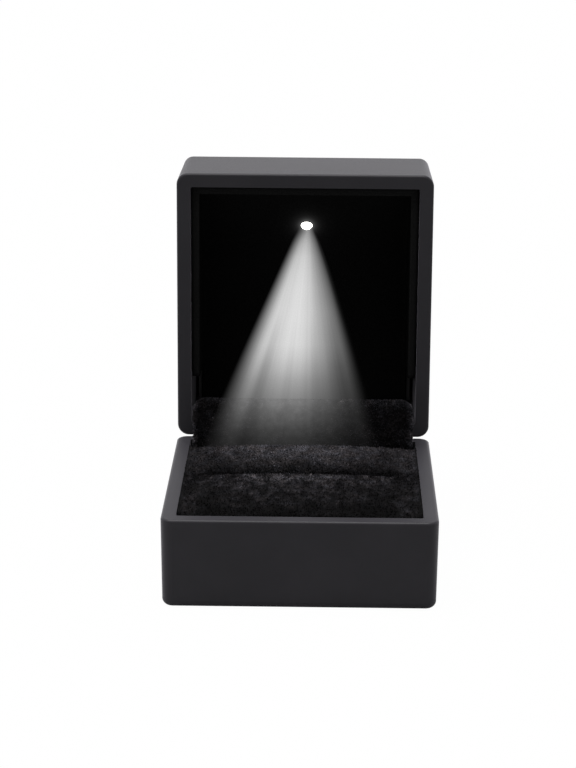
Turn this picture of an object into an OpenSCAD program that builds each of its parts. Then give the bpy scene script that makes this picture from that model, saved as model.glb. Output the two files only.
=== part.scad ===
// Ring display box with a lamp in its lid, standing open.
// Two moulded shells turn on one full-width snap hinge at the rear edge.
// The base carries a velvet ring cushion and a velvet upstand that hides the hinge.
// The lid carries a lining tray, a lamp on two coin cells, and a plunger switch.
// A spiral cam fixed to the base works the plunger as the lid turns.
// Millimetres. +Z is up, the front faces -Y, z = 0 is the underside of the base.

/* [Box] */
// Width of both shells at the parting plane
box_width = 60; // [56:0.5:72]
// Depth of both shells at the parting plane, front to back
box_depth = 63.5; // [60:0.5:76]
// Height of the base shell
base_height = 20; // [20:0.5:27]
// Height of the lid shell
lid_height = 26; // [26:0.5:32]
// Gap between the two rims when the box is shut
rim_gap = 0.3; // [0.2:0.05:0.5]
// Wall thickness of both shells at the rim
wall = 3.25; // [3.1:0.05:3.6]
// Thickness of the closed face of both shells
face_thickness = 2; // [1.6:0.1:2.2]
// Radius of the upright corners
corner_radius = 2.7; // [2.4:0.1:4]
// Rounding of the base's lower edge
base_edge_radius = 1.6; // [1:0.1:1.9]
// Rounding of the lid's far edge
lid_edge_radius = 1.8; // [1:0.1:1.9]
// Rounding of both rims
rim_radius = 0.6; // [0.3:0.05:0.7]
// Mould draft of the outer walls, in degrees
draft = 0.8; // [0:0.1:1]

/* [Hinge] */
// Length of the hinge barrel
hinge_length = 48; // [46:0.5:50]
// Distance of the hinge axis inside the rear faces
hinge_inset = 0.1; // [0:0.05:0.15]
// Thickness of the hinge sheet
leaf_thickness = 0.7; // [0.6:0.05:0.75]
// Radius of the hinge pin
pin_radius = 0.8; // [0.7:0.05:0.8]
// Running clearance around the pin
pin_clearance = 0.05; // [0.03:0.01:0.06]
// Depth of the leaf on the base wall, below the axis
base_leaf_drop = 10.5; // [9.5:0.5:11.5]
// Depth of the leaf on the lid wall, above the axis
lid_leaf_rise = 15.5; // [15:0.5:16]
// Clearance between neighbouring knuckles
knuckle_gap = 0.2; // [0.15:0.05:0.3]
// Depth of the flats ground on the lid knuckles
flat_depth = 0.25; // [0.15:0.05:0.25]
// Thickness of the snap spring strip
spring_thickness = 0.35; // [0.25:0.05:0.35]

/* [Switch] */
// Travel of the switch plunger over the whole turn of the lid
plunger_travel = 1.2; // [0.8:0.1:1.2]
// Cam radius that the plunger meets with the lid open
cam_low_radius = 2.2; // [2.1:0.05:2.3]
// Angle of the plunger from the lid's rear wall
plunger_angle = 22; // [21:0.5:23]
// Thickness of the plunger bar
plunger_thickness = 1.4; // [1.2:0.1:1.4]
// Width of the plunger bar
plunger_width = 3; // [2.4:0.1:3.2]
// Gap between plunger tip and cam, and around the bar
plunger_clearance = 0.1; // [0.08:0.01:0.12]

/* [Cushion] */
// Height of the cushion board above the underside
board_height = 8; // [7:0.5:9]
// Height of the velvet at the ring slot
cushion_height = 20.45; // [19.6:0.05:20.6]
// Distance of the ring slot behind the middle of the box
slot_offset = 1.2; // [-3:0.1:4]
// Length of the ring slot
slot_length = 43; // [30:0.5:44]
// Depth of the ring slot
slot_depth = 7; // [4:0.5:8]
// Thickness of the velvet over the foam
velvet = 0.7; // [0.5:0.05:0.8]
// Rise of the velvet upstand above the base rim
upstand_rise = 11.2; // [9:0.1:11.4]
// Distance of the upstand's face inside the rear face
upstand_set_in = 7.75; // [7.6:0.05:8.2]
// Gap between the upstand and the base's side walls
upstand_side_gap = 0.95; // [0.5:0.05:2.5]
// Thickness of the upstand with its velvet
upstand_thickness = 1.6; // [1.4:0.1:1.7]

/* [Lining and lamp] */
// Width of the lining's border around the recess
border_width = 2; // [1.7:0.1:3]
// Depth of the border below the lid rim
border_depth = 1.5; // [1:0.1:1.8]
// Depth of the back panel below the lid rim
panel_depth = 18; // [17.8:0.1:18.2]
// Distance of the recess's side walls from the lid's rear wall
side_wall_stop = 11; // [10.8:0.1:13]
// Thickness of the lining's flocked cloth
flock = 0.4; // [0.3:0.05:0.45]
// Thickness of the lining tray
tray_wall = 0.7; // [0.5:0.05:0.75]
// Distance of the lamp from the front of the lid
lamp_from_front = 15; // [13:0.1:17]
// Depth of the lamp port below the lid rim
lamp_depth = 14.2; // [13.6:0.1:14.6]
// Lamp port to the right of the middle
lamp_right = 0.3; // [-2:0.1:2]
// Tilt of the lamp, 0 looks straight out of the lid
lamp_tilt = 40; // [36:0.5:44]
// Diameter of the lamp
lamp_diameter = 3; // [2.8:0.1:3.2]
// How far the lamp's dome stands out of the lining
lamp_proud = 0.9; // [0.6:0.1:1.1]
// Diameter of a coin cell
cell_diameter = 12.5; // [11:0.1:12.6]
// Thickness of a coin cell
cell_thickness = 2; // [1.6:0.1:2]

/* [Hidden] */
$fn = 64;

eps = 0.01;
half_w = box_width / 2;
half_d = box_depth / 2;
in_x = half_w - wall;
in_y = half_d - wall;
rim_z = base_height + rim_gap;
axis_y = half_d - hinge_inset;
axis_z = base_height + rim_gap / 2;
bore = pin_radius + pin_clearance;
barrel = bore + leaf_thickness + 0.05;
half_hinge = hinge_length / 2;
// knuckles from the middle outward: cam, base, lid, base
k1 = 2.9;
k2 = 8;
k3 = 16.2;
leaf_face = in_y - leaf_thickness;
spring_width = k3 - k2 - 3 * knuckle_gap;
screw_r = 0.7;
screw_length = 3;
screw_head_r = 1.4;
screw_head = 0.55;
screw_hole = screw_length + 0.4;
screw_x = [(k2 + k3) / 2, half_hinge - 3];
base_screw_z = axis_z - 6;
lid_screw_h = 9;
plastic = [0.17, 0.17, 0.175];
cloth = [0.1, 0.1, 0.11];
card = [0.3, 0.26, 0.2];
foam_grey = [0.42, 0.42, 0.44];
nylon = [0.85, 0.85, 0.8];
black = [0.12, 0.12, 0.13];
steel = [0.72, 0.72, 0.74];
nickel = [0.8, 0.79, 0.76];

// ---- shared shapes ----

// outline of one outer wall: x out from the corner's centre, y from the parting plane
module wall_profile(h, edge) {
    c1 = corner_radius - rim_radius * tan(draft) - rim_radius / cos(draft);
    c2 = corner_radius - (h - edge) * tan(draft) - edge / cos(draft);
    polygon([
        [0, 0], [c1, 0],
        [c1 + rim_radius * cos(draft), rim_radius + rim_radius * sin(draft)],
        [c2 + edge * cos(draft), h - edge + edge * sin(draft)],
        [c2, h], [0, h]
    ]);
    intersection() {
        translate([c1, rim_radius]) circle(rim_radius);
        translate([c1, 0]) square([corner_radius, rim_radius * 2]);
    }
    intersection() {
        translate([c2, h - edge]) circle(edge);
        translate([c2, h - edge * 2]) square([corner_radius, edge * 2]);
    }
}

// solid shell block, parting plane at z = 0, closed face at z = h
module shell_block(h, edge) {
    cx = half_w - corner_radius;
    cy = half_d - corner_radius;
    translate([-cx, -cy, 0]) cube([2 * cx, 2 * cy, h]);
    for (s = [0, 180]) rotate([0, 0, s]) {
        translate([-cx, cy, 0]) rotate([90, 0, 90]) linear_extrude(2 * cx) wall_profile(h, edge);
        translate([cx, cy, 0]) rotate([90, 0, 0]) linear_extrude(2 * cy) wall_profile(h, edge);
        translate([cx, cy, 0]) rotate_extrude(angle = 90) wall_profile(h, edge);
        translate([-cx, cy, 0]) rotate([0, 0, 90]) rotate_extrude(angle = 90) wall_profile(h, edge);
    }
}

// rounded rectangle, centred
module round_rect(w, d, r) {
    square([w - 2 * r, d], center = true);
    square([w, d - 2 * r], center = true);
    for (x = [-1, 1], y = [-1, 1]) translate([x * (w / 2 - r), y * (d / 2 - r)]) circle(r);
}

// box between two corners
module block(a, b) {
    translate(a) cube(b - a);
}

// cross-section in the y-z plane, x0 to x1
module section(x0, x1) {
    translate([x0, 0, 0]) rotate([90, 0, 90]) linear_extrude(x1 - x0) children();
}

// the lid is drawn shut, then turned back by a right angle about the hinge axis
module open_lid() {
    translate([0, axis_y, axis_z]) rotate([-90, 0, 0]) translate([0, -axis_y, -axis_z]) children();
}

// closed solid between two grids of points of the same size, m points a row
module two_sheets(a, b, m) {
    n = len(a) / m;
    o = len(a);
    polyhedron(
        points = concat(a, b),
        faces = concat(
            [for (j = [0 : n - 2], i = [0 : m - 2]) [j * m + i, j * m + i + 1, (j + 1) * m + i + 1]],
            [for (j = [0 : n - 2], i = [0 : m - 2]) [j * m + i, (j + 1) * m + i + 1, (j + 1) * m + i]],
            [for (j = [0 : n - 2], i = [0 : m - 2])
                [o + j * m + i, o + (j + 1) * m + i + 1, o + j * m + i + 1]],
            [for (j = [0 : n - 2], i = [0 : m - 2])
                [o + j * m + i, o + (j + 1) * m + i, o + (j + 1) * m + i + 1]],
            [for (i = [0 : m - 2]) [i, o + i, o + i + 1]],
            [for (i = [0 : m - 2]) [i, o + i + 1, i + 1]],
            [for (i = [0 : m - 2]) let(p = (n - 1) * m + i) [p, o + p + 1, o + p]],
            [for (i = [0 : m - 2]) let(p = (n - 1) * m + i) [p, p + 1, o + p + 1]],
            [for (j = [0 : n - 2]) [j * m, (j + 1) * m, o + (j + 1) * m]],
            [for (j = [0 : n - 2]) [j * m, o + (j + 1) * m, o + j * m]],
            [for (j = [0 : n - 2]) let(p = j * m + m - 1) [p, o + p + m, p + m]],
            [for (j = [0 : n - 2]) let(p = j * m + m - 1) [p, o + p, o + p + m]]
        )
    );
}

// flat line of width 2r through the points, with a slightly wider eye at each bend
module stroke(points, r) {
    for (i = [0 : len(points) - 2]) {
        v = points[i + 1] - points[i];
        translate(points[i]) rotate(atan2(v.y, v.x)) translate([0, -r]) square([norm(v), 2 * r]);
    }
    for (i = [1 : len(points) - 2]) translate(points[i]) circle(r * 1.15);
}

// ---- base ----

face_y = half_d - upstand_set_in;
notch_gap = 0.8;
turning_gap = 0.35;
post_width = 5;
board_thickness = 1.2;
board_gap = 0.45;
cushion_gap = 0.4;
cushion_back = face_y - 0.25;
board_top = board_height + board_thickness;

module base_shell() color(plastic) {
    difference() {
        translate([0, 0, base_height]) mirror([0, 0, 1]) shell_block(base_height, base_edge_radius);
        translate([0, 0, face_thickness]) linear_extrude(base_height) round_rect(2 * in_x, 2 * in_y, 0.5);
        // notch for the hinge barrel, deeper under the knuckles that turn
        block([-half_hinge - notch_gap, in_y - 1, axis_z - barrel],
            [half_hinge + notch_gap, half_d + 1, base_height + 1]);
        for (s = [-1, 1]) translate([s * (k2 + k3) / 2, 0, 0])
            block([-(k3 - k2) / 2, in_y - 1, axis_z - barrel - turning_gap],
                [(k3 - k2) / 2, half_d + 1, base_height + 1]);
        for (s = [-1, 1], x = screw_x) wall_hole(s * x, base_screw_z);
    }
    // posts that carry the cushion board
    wall_post(post_width, -in_y, -in_y + post_width, board_height);
    wall_post(post_width - 1.5, face_y - 6, face_y - 0.5, board_height);
    // stops behind the upstand
    wall_post(in_x - half_hinge - 0.4, face_y + upstand_thickness + 0.1, in_y, base_height - 3);
}

// pair of posts on the side walls, as wide as given, y0 to y1, from the floor up to z
module wall_post(width, y0, y1, z) for (s = [-1, 1]) {
    x = [s * in_x, s * (in_x - width)];
    block([min(x), y0, face_thickness - eps], [max(x), y1, z]);
}

// screw hole in the rear wall
module wall_hole(x, z) translate([x, in_y - 1, z]) rotate([-90, 0, 0])
    cylinder(r = screw_r + 0.05, h = screw_hole);

module cushion_board() color(card)
    block([-in_x + board_gap, -in_y + cushion_gap, board_height],
        [in_x - board_gap, cushion_back, board_top]);

// the cushion's foot line, front and top
cz = board_top + 0.1;
cf = -in_y + cushion_gap;
ct = cushion_height;
// rolls of the section: front edge, slot's front lip, slot's rear flank, rear edge
front_r = 3;
lip_r = 1;
flank_r = 5;
rear_r = 2.5;

// points of an arc, from angle a to b in n steps
function arc(c, r, a, b, n) =
    [for (i = [0 : n]) c + r * [cos(a + (b - a) * i / n), sin(a + (b - a) * i / n)]];

// section across the slot, d in from the velvet's face, g = 1 where the slot is open
function sink(p, g) = [p[0], ct - (ct - p[1]) * (0.25 + 0.75 * g)];
function cushion_section(d, g) = let(zs = ct - slot_depth)
    concat(
        [[cf + d, cz], [cf + d + 0.1, cz + (ct - cz) * 0.45]],
        arc([cf + front_r + 0.2, ct - front_r - 1.1], front_r - d, 178, 96, 4),
        [[cf + 9, ct - 0.45 - d], [cf + 16, ct - 0.1 - d], [slot_offset - 6, ct + 0.05 - d]],
        [[slot_offset - 2.6, ct + 0.03 - d]],
        [for (p = arc([slot_offset - lip_r - 0.3, ct - lip_r], lip_r - d, 86, 8, 2)) sink(p, g)],
        [[slot_offset - 0.22 - d, (zs + 0.8) * g + (ct - 0.3) * (1 - g) - d],
            [slot_offset, zs * g + (ct - 0.4) * (1 - g) - d],
            [slot_offset + 0.22 + d, (zs + 0.8) * g + (ct - 0.35) * (1 - g) - d]],
        [for (p = arc([slot_offset + flank_r + 0.4, ct - flank_r - 0.2], flank_r - d, 176, 104, 4))
            sink(p, g)],
        [[slot_offset + 8.4, ct + 0.35 - d], [slot_offset + 13, ct + 0.6 - d]],
        [[cushion_back - 5, ct + 0.5 - d]],
        arc([cushion_back - rear_r - 0.1, ct - rear_r + 0.35], rear_r - d, 84, 2, 3),
        [[cushion_back - d - 0.02, cz + 4], [cushion_back - d, cz]]
    );
rows = len(cushion_section(0, 1));

// stations across the width: x, height factor, slot opening
function crown(x) = 1 - 0.085 * pow(x / in_x, 2);
side_r = 2.6;
function side(d, n) = let(e = in_x - cushion_gap - d, r = side_r - d, h = ct - cz)
    [for (i = [0 : n]) let(a = 90 * i / (n + 0.3))
        [e - 0.05 - r * (1 - cos(a)), (1 - (r / h) * (1 - sin(a))) * crown(e), 0]];
function stations(d) = let(e = in_x - cushion_gap - d, m = slot_length / 2, s = side(d, 3))
    concat(
        [[-e, 0, 0]],
        [for (p = s) [-p[0], p[1], 0]],
        [for (x = [-m - 0.4, -m + 0.4, -m + 2.2, -m / 2, 0, m / 2, m - 2.2, m - 0.4, m + 0.4])
            [x, crown(x), min(1, max(0, (m + 0.4 - abs(x)) / 2.6))]],
        [for (i = [3 : -1 : 0]) s[i]],
        [[e, 0, 0]]
    );
function sheet(d) =
    [for (s = stations(d), p = cushion_section(d, s[2])) [s[0], p[0], cz + (p[1] - cz) * s[1]]];

module cushion_velvet() color(cloth) two_sheets(sheet(0), sheet(velvet), rows);

// foam block under the velvet, section points i0 to i1 with a foot at each end
foam_in = velvet + 0.12;
function foam_section(i0, i1) = let(q = cushion_section(foam_in, 1))
    concat([[q[i0][0] - 0.02, cz + 0.3]], [for (i = [i0 : i1]) q[i]], [[q[i1][0] + 0.02, cz + 0.3]]);
module foam(i0, i1) {
    q = foam_section(i0, i1);
    top = [for (s = stations(foam_in), p = q) [s[0], p[0], cz + 0.3 + (p[1] - cz - 0.3) * s[1] * 0.985]];
    two_sheets(top, [for (p = top) [p[0], p[1], cz]], len(q));
}
module foam_front() color(foam_grey) foam(1, 13);
module foam_rear() color(foam_grey) foam(17, rows - 2);

// rounded front outline of the upstand, from z0 up to z1
module upstand_face(w, z0, z1, r) {
    translate([-w / 2, z0]) square([w, z1 - z0 - r]);
    translate([-w / 2 + r, z0]) square([w - 2 * r, z1 - z0]);
    for (s = [-1, 1]) translate([s * (w / 2 - r), z1 - r]) circle(r);
}
upstand_top = base_height + upstand_rise;
upstand_width = 2 * (in_x - upstand_side_gap);
upstand_corner = 3;
sock = 0.45;
core_inset = sock + 0.05;
module slab(y0, y1) translate([0, y1, 0]) rotate([90, 0, 0]) linear_extrude(y1 - y0) children();

module upstand_core() color(card)
    slab(face_y + core_inset, face_y + upstand_thickness - core_inset)
        upstand_face(upstand_width - 2 * core_inset, face_thickness, upstand_top - core_inset,
            upstand_corner - core_inset);

module upstand_velvet() color(cloth) difference() {
    slab(face_y, face_y + upstand_thickness)
        upstand_face(upstand_width, cz, upstand_top, upstand_corner);
    slab(face_y + sock, face_y + upstand_thickness - sock)
        upstand_face(upstand_width - 2 * sock, cz - 1, upstand_top - sock, upstand_corner - sock);
}

// ---- hinge ----

// one leaf's section, knuckle on the axis, sheet running down the wall by h
module leaf_section(h) {
    difference() {
        union() {
            translate([axis_y, 0]) circle(barrel);
            translate([leaf_face + leaf_thickness, -barrel]) square([axis_y - in_y, barrel - bore - 0.05]);
        }
        translate([axis_y, 0]) circle(bore);
    }
    translate([leaf_face, -h]) square([leaf_thickness, h - barrel]);
    intersection() {
        translate([leaf_face + leaf_thickness, -barrel]) circle(leaf_thickness);
        translate([leaf_face, -barrel]) square(leaf_thickness);
    }
}

module screw(head_y) {
    // head towards -y, shank towards +y
    translate([0, head_y, 0]) rotate([-90, 0, 0]) {
        cylinder(r = screw_r, h = screw_length);
        translate([0, 0, -screw_head])
            cylinder(r1 = screw_head_r - 0.4, r2 = screw_head_r, h = screw_head - 0.2);
        translate([0, 0, -0.2]) cylinder(r = screw_head_r, h = 0.2);
    }
}

module leaf_holes(z) for (s = [-1, 1], x = screw_x)
    translate([s * x, leaf_face - 1, z]) rotate([-90, 0, 0]) cylinder(r = screw_r + 0.1, h = 3);

// foot of the switch cam on the rear wall, measured from the axis
cam_foot = -6.4;

module base_leaf() color(nickel) difference() {
    translate([0, 0, axis_z]) union() {
        for (s = [-1, 1]) {
            section(s > 0 ? k3 + knuckle_gap : -half_hinge, s > 0 ? half_hinge : -k3 - knuckle_gap)
                leaf_section(base_leaf_drop);
            section(s > 0 ? k1 + knuckle_gap : -k2, s > 0 ? k2 : -k1 - knuckle_gap)
                leaf_section(base_leaf_drop);
        }
        block([-half_hinge, leaf_face, -base_leaf_drop], [half_hinge, in_y, cam_foot - knuckle_gap]);
        for (s = [-1, 1]) block([s > 0 ? k2 - 0.5 : -k3 - 0.5, leaf_face, -base_leaf_drop],
            [s > 0 ? k3 + 0.5 : -k2 + 0.5, in_y, -barrel - 0.3]);
    }
    leaf_holes(base_screw_z);
}

module hinge_pin() color(steel) translate([0, axis_y, axis_z]) rotate([0, 90, 0]) {
    translate([0, 0, -half_hinge - 0.3]) cylinder(r = pin_radius, h = hinge_length + 0.6);
    for (s = [-1, 1]) translate([0, 0, s * (half_hinge + 0.25)])
        cylinder(r = pin_radius + 0.4, h = 0.4, center = true);
}

// strip springs that press on the flats of the lid knuckles
module snap_springs() color(steel) for (s = [-1, 1]) difference() {
    section(s * (k2 + k3) / 2 - spring_width / 2, s * (k2 + k3) / 2 + spring_width / 2) {
        top = axis_z - barrel + 0.15;
        tongue = axis_y - barrel + flat_depth - 0.05;
        translate([leaf_face - spring_thickness, axis_z - base_leaf_drop + 1])
            square([spring_thickness, top + spring_thickness - axis_z + base_leaf_drop - 1]);
        translate([leaf_face - eps, top]) square([tongue - leaf_face + eps, spring_thickness]);
        translate([tongue - spring_thickness, top]) square([spring_thickness, barrel + 0.6]);
    }
    translate([s * (k2 + k3) / 2, leaf_face - 2, base_screw_z]) rotate([-90, 0, 0])
        cylinder(r = screw_r + 0.1, h = 3);
}

module base_leaf_screws() color(steel) for (s = [-1, 1]) {
    translate([s * screw_x[0], 0, base_screw_z]) screw(leaf_face - spring_thickness);
    translate([s * screw_x[1], 0, base_screw_z]) screw(leaf_face);
}

// ---- switch cam, fixed to the base on the hinge pin ----

// cam radius grows evenly with the angle, so the plunger moves evenly with the lid
open_angle = plunger_angle;
function cam_radius(a) = cam_low_radius + plunger_travel * (a - open_angle) / 90;

cam_web = 1.4;

module switch_cam() color(nylon) section(-k1 + knuckle_gap, k1 - knuckle_gap) {
    difference() {
        union() {
            translate([axis_y, axis_z]) {
                circle(barrel);
                polygon(concat(
                    [for (a = [open_angle - 12 : 6 : open_angle + 102]) cam_radius(a) * [cos(a), sin(a)]],
                    [0.9 * [cos(open_angle + 140), sin(open_angle + 140)],
                        0.9 * [cos(open_angle - 60), sin(open_angle - 60)]]
                ));
                translate([in_y - cam_web - axis_y, -barrel])
                    square([axis_y - in_y + cam_web, barrel - bore - 0.05]);
                translate([in_y - cam_web - axis_y, cam_foot]) square([cam_web, 0.4 - barrel - cam_foot]);
            }
        }
        translate([axis_y, axis_z]) circle(bore);
    }
}

// ---- lid, drawn shut ----

// growth of the tray's two faces from the lining's face
tray_in = flock + 0.05;
tray_out = tray_in + tray_wall;
lining_end = in_y - side_wall_stop;
ledge_length = 5;
ledge_front = -in_y + 8;
ledge_back = lining_end - ledge_length - 2.5;
// switch body: half width, near and far end below the lid rim, and its screw ears
switch_half = 3.2;
switch_near = 4.6;
switch_far = 12.2;
ear_half = 6.1;
ear_near = 5.5;
ear_screw_x = 4.9;
// the supply behind the panel
hold_z = rim_z + panel_depth + tray_out;
hold_floor = 0.7;
contact = 0.25;
cell_z = hold_z + hold_floor + contact;
// switch leads: half their spacing, and their place in the rear wall's groove
wire_r = 0.35;
lead_x = 1.2;
lead_y = in_y + wire_r + 0.1;
lead_z = cell_z + cell_thickness + contact;

module lid_shell() color(plastic) open_lid() difference() {
    union() {
        difference() {
            translate([0, 0, rim_z]) shell_block(lid_height, lid_edge_radius);
            translate([0, 0, rim_z - 1]) linear_extrude(lid_height - face_thickness + 1)
                round_rect(2 * in_x, 2 * in_y, 0.5);
        }
        // ledges under the lining's border
        for (s = [-1, 1], k = [0 : 2]) {
            x = [s * in_x, s * (in_x - border_width + tray_out + 0.15)];
            y = ledge_front + k * (ledge_back - ledge_front) / 2;
            block([min(x), y, rim_z + border_depth + tray_out + 0.05],
                [max(x), y + ledge_length, rim_z + lid_height - face_thickness + eps]);
        }
    }
    // notch for the hinge barrel, deeper over the knuckles that are held to the base
    block([-half_hinge - notch_gap, in_y - 1, rim_z - 1],
        [half_hinge + notch_gap, half_d + 1, axis_z + barrel]);
    for (s = [-1, 1]) block([s > 0 ? k3 : -half_hinge - notch_gap, in_y - 1, rim_z],
        [s > 0 ? half_hinge + notch_gap : -k3, half_d + 1, axis_z + barrel + turning_gap]);
    block([-k2 - knuckle_gap, in_y - 1, rim_z],
        [k2 + knuckle_gap, half_d + 1, axis_z + barrel + turning_gap]);
    // room for the cam and the switch
    translate([-k1 - 0.1, axis_y, axis_z]) rotate([0, 90, 0])
        cylinder(r = cam_radius(open_angle + 102) + 0.3, h = 2 * k1 + 0.2);
    block([-switch_half - 0.2, in_y - 1, rim_z + 1],
        [switch_half + 0.2, half_d - 0.8, rim_z + switch_far + 0.2]);
    // groove that takes the switch leads up behind the leaf
    block([-lead_x - wire_r - 0.2, in_y - 1, rim_z + switch_far],
        [lead_x + wire_r + 0.2, lead_y + wire_r + 0.2, lead_z + 2 * wire_r + 0.2]);
    for (s = [-1, 1]) {
        for (x = screw_x) wall_hole(s * x, rim_z + lid_screw_h);
        wall_hole(s * ear_screw_x, rim_z + lid_screw_h);
    }
}

module lid_leaf() color(nickel) open_lid() difference() {
    translate([0, 0, axis_z]) mirror([0, 0, 1]) union() {
        for (s = [-1, 1]) section(s > 0 ? k2 + knuckle_gap : -k3, s > 0 ? k3 : -k2 - knuckle_gap)
            leaf_section(lid_leaf_rise);
        difference() {
            block([-half_hinge, leaf_face, -lid_leaf_rise], [half_hinge, in_y, -barrel - 0.3]);
            block([-ear_half - 0.4, leaf_face - 1, -switch_far - 1.2], [ear_half + 0.4, in_y + 1, 0]);
        }
    }
    // flats on the knuckles, a right angle apart
    for (s = [-1, 1]) translate([s > 0 ? k2 : -k3 - 0.2, axis_y, axis_z]) {
        block([0, -barrel - 0.5, -barrel + 0.3], [k3 - k2 + 0.2, -barrel + flat_depth, 0.85]);
        block([0, -1.1, -barrel - 0.5], [k3 - k2 + 0.2, 1.1, -barrel + flat_depth]);
    }
    leaf_holes(rim_z + lid_screw_h);
}

module lid_leaf_screws() color(steel) open_lid() for (s = [-1, 1], x = screw_x)
    translate([s * x, 0, rim_z + lid_screw_h]) screw(leaf_face);

// place along the plunger's line, +z away from the hinge axis
module along_plunger() translate([0, axis_y, axis_z]) rotate([plunger_angle, 0, 0]) children();

// cross-section of the plunger bar, grown by d all round
module bar_section(d) square([plunger_width + 2 * d, plunger_thickness + 2 * d], center = true);
plunger_tip = cam_low_radius + plunger_clearance;
plunger_end = 9.6;
body_front = face_y + upstand_thickness + 0.35;

module switch_body() color(black) open_lid() difference() {
    union() {
        block([-switch_half, body_front, rim_z + switch_near],
            [switch_half, half_d - 0.9, rim_z + switch_far]);
        block([-ear_half, leaf_face, rim_z + ear_near], [ear_half, in_y, rim_z + switch_far]);
    }
    // channel of the plunger bar
    along_plunger() linear_extrude(plunger_end + plunger_travel + 0.4)
        bar_section(plunger_clearance);
    for (s = [-1, 1]) translate([s * ear_screw_x, leaf_face - 1, rim_z + lid_screw_h]) rotate([-90, 0, 0])
        cylinder(r = screw_r + 0.1, h = screw_length);
}

module switch_screws() color(steel) open_lid() for (s = [-1, 1])
    translate([s * ear_screw_x, 0, rim_z + lid_screw_h]) screw(leaf_face);

module switch_plunger() color(nylon) open_lid() along_plunger() {
    translate([-plunger_width / 2, -plunger_thickness / 2, plunger_tip + plunger_thickness / 2])
        cube([plunger_width, plunger_thickness, plunger_end - plunger_tip - plunger_thickness / 2]);
    translate([-plunger_width / 2, 0, plunger_tip + plunger_thickness / 2]) rotate([0, 90, 0])
        cylinder(r = plunger_thickness / 2, h = plunger_width);
}

// ---- lining ----

lamp_r = lamp_diameter / 2;
lamp_y = -half_d + lamp_from_front;
lining_x = in_x - border_width;
lining_front = -in_y + border_width;
panel_end = leaf_face - 0.2;

// recess of the lining seen from the side, grown outward by d, from depth top inward
module recess(d, back, top) {
    run = 1 / tan(lamp_tilt);
    up = d / cos(lamp_tilt);
    function slope(y) = lamp_depth + up + (y - lamp_y) * tan(lamp_tilt);
    y1 = lamp_y + (panel_depth + d - lamp_depth - up) * run;
    translate([0, rim_z]) polygon([
        [lining_front - d, top], [lining_front - d, slope(lining_front - d)],
        [y1, panel_depth + d], [back, panel_depth + d], [back, top]
    ]);
}

// one layer of the lining, between growths d0 and d1, border thickness t
module lining_layer(d0, d1, z0, t) {
    section(-lining_x - d1, lining_x + d1) difference() {
        recess(d1, panel_end, z0);
        recess(d0, panel_end + 1, 0);
    }
    for (s = [-1, 1]) section(s > 0 ? lining_x + d0 : -lining_x - d1, s > 0 ? lining_x + d1 : -lining_x - d0)
        recess(d1, lining_end, z0);
    // border on three sides
    difference() {
        block([-in_x + 0.2, -in_y + 0.2, rim_z + z0], [in_x - 0.2, lining_end, rim_z + z0 + t]);
        block([-lining_x - d0, lining_front - d0, rim_z],
            [lining_x + d0, lining_end + 1, rim_z + panel_depth / 2]);
    }
}

// the lamp's own frame: z = 0 on the lining's face, +z out of the lid
module at_lamp() translate([lamp_right, lamp_y, rim_z + lamp_depth])
    rotate([-180 + lamp_tilt, 0, 0]) children();

module lining_velvet() color(cloth) open_lid() difference() {
    lining_layer(0, flock, border_depth, flock);
    at_lamp() translate([0, 0, -2]) cylinder(r = lamp_r + 0.05, h = 4);
}

module lining_tray() color(black) open_lid() difference() {
    lining_layer(tray_in, tray_out, border_depth + tray_in, tray_wall);
    at_lamp() translate([0, 0, -3]) cylinder(r = lamp_r + 0.2, h = 5);
}

// ---- lamp and supply, behind the lining ----

// the lamp's flange and the board behind it, on the lamp's own axis
flange_z = -4.6;
flange = 0.8;
board_z = -5.9;
board_size = [12, 8];
board_thick = 1;
lamp_pitch = 1.27;
lamp_lead_r = 0.25;
// holder: wall round the lamp, bar that screws to the tray, posts that hold the board
holder_wall = 1.3;
holder_bar = [10.4, 2.4];
holder_post_x = 4.4;
holder_post_r = 0.8;

module lamp() color([0.95, 0.95, 0.9]) open_lid() at_lamp() {
    translate([0, 0, lamp_proud - lamp_r]) sphere(lamp_r);
    translate([0, 0, flange_z]) cylinder(r = lamp_r, h = lamp_proud - lamp_r - flange_z);
    translate([0, 0, flange_z - flange]) cylinder(r = lamp_r + 0.4, h = flange);
}

module lamp_leads() color(steel) open_lid() at_lamp() for (s = [-1, 1])
    translate([s * lamp_pitch, 0, board_z - board_thick - 0.6])
        cylinder(r = lamp_lead_r, h = flange_z - flange - board_z + board_thick + 0.6);

module lamp_holder() color(nylon) open_lid() at_lamp() difference() {
    union() {
        translate([0, 0, flange_z]) cylinder(r = lamp_r + holder_wall, h = -tray_out - flange_z);
        translate([0, 0, flange_z + 1]) linear_extrude(-tray_out - flange_z - 1)
            square(holder_bar, center = true);
        for (s = [-1, 1]) translate([s * holder_post_x, 0, board_z])
            cylinder(r = holder_post_r, h = flange_z - board_z + 1.5);
    }
    translate([0, 0, flange_z - 1]) cylinder(r = lamp_r + 0.1, h = 1 - flange_z);
}

module circuit_board() color([0.1, 0.35, 0.18]) open_lid() at_lamp() difference() {
    translate([0, 0, board_z - board_thick]) linear_extrude(board_thick)
        round_rect(board_size.x, board_size.y, 0.6);
    for (s = [-1, 1]) translate([s * lamp_pitch, 0, board_z - board_thick - 1])
        cylinder(r = lamp_lead_r + 0.1, h = board_thick + 2);
}

// body across the board, a bent lead at each end down to it
resistor_r = 0.85;
resistor_length = 3.4;
resistor_lead_r = 0.22;
resistor_span = 2.6;

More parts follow.
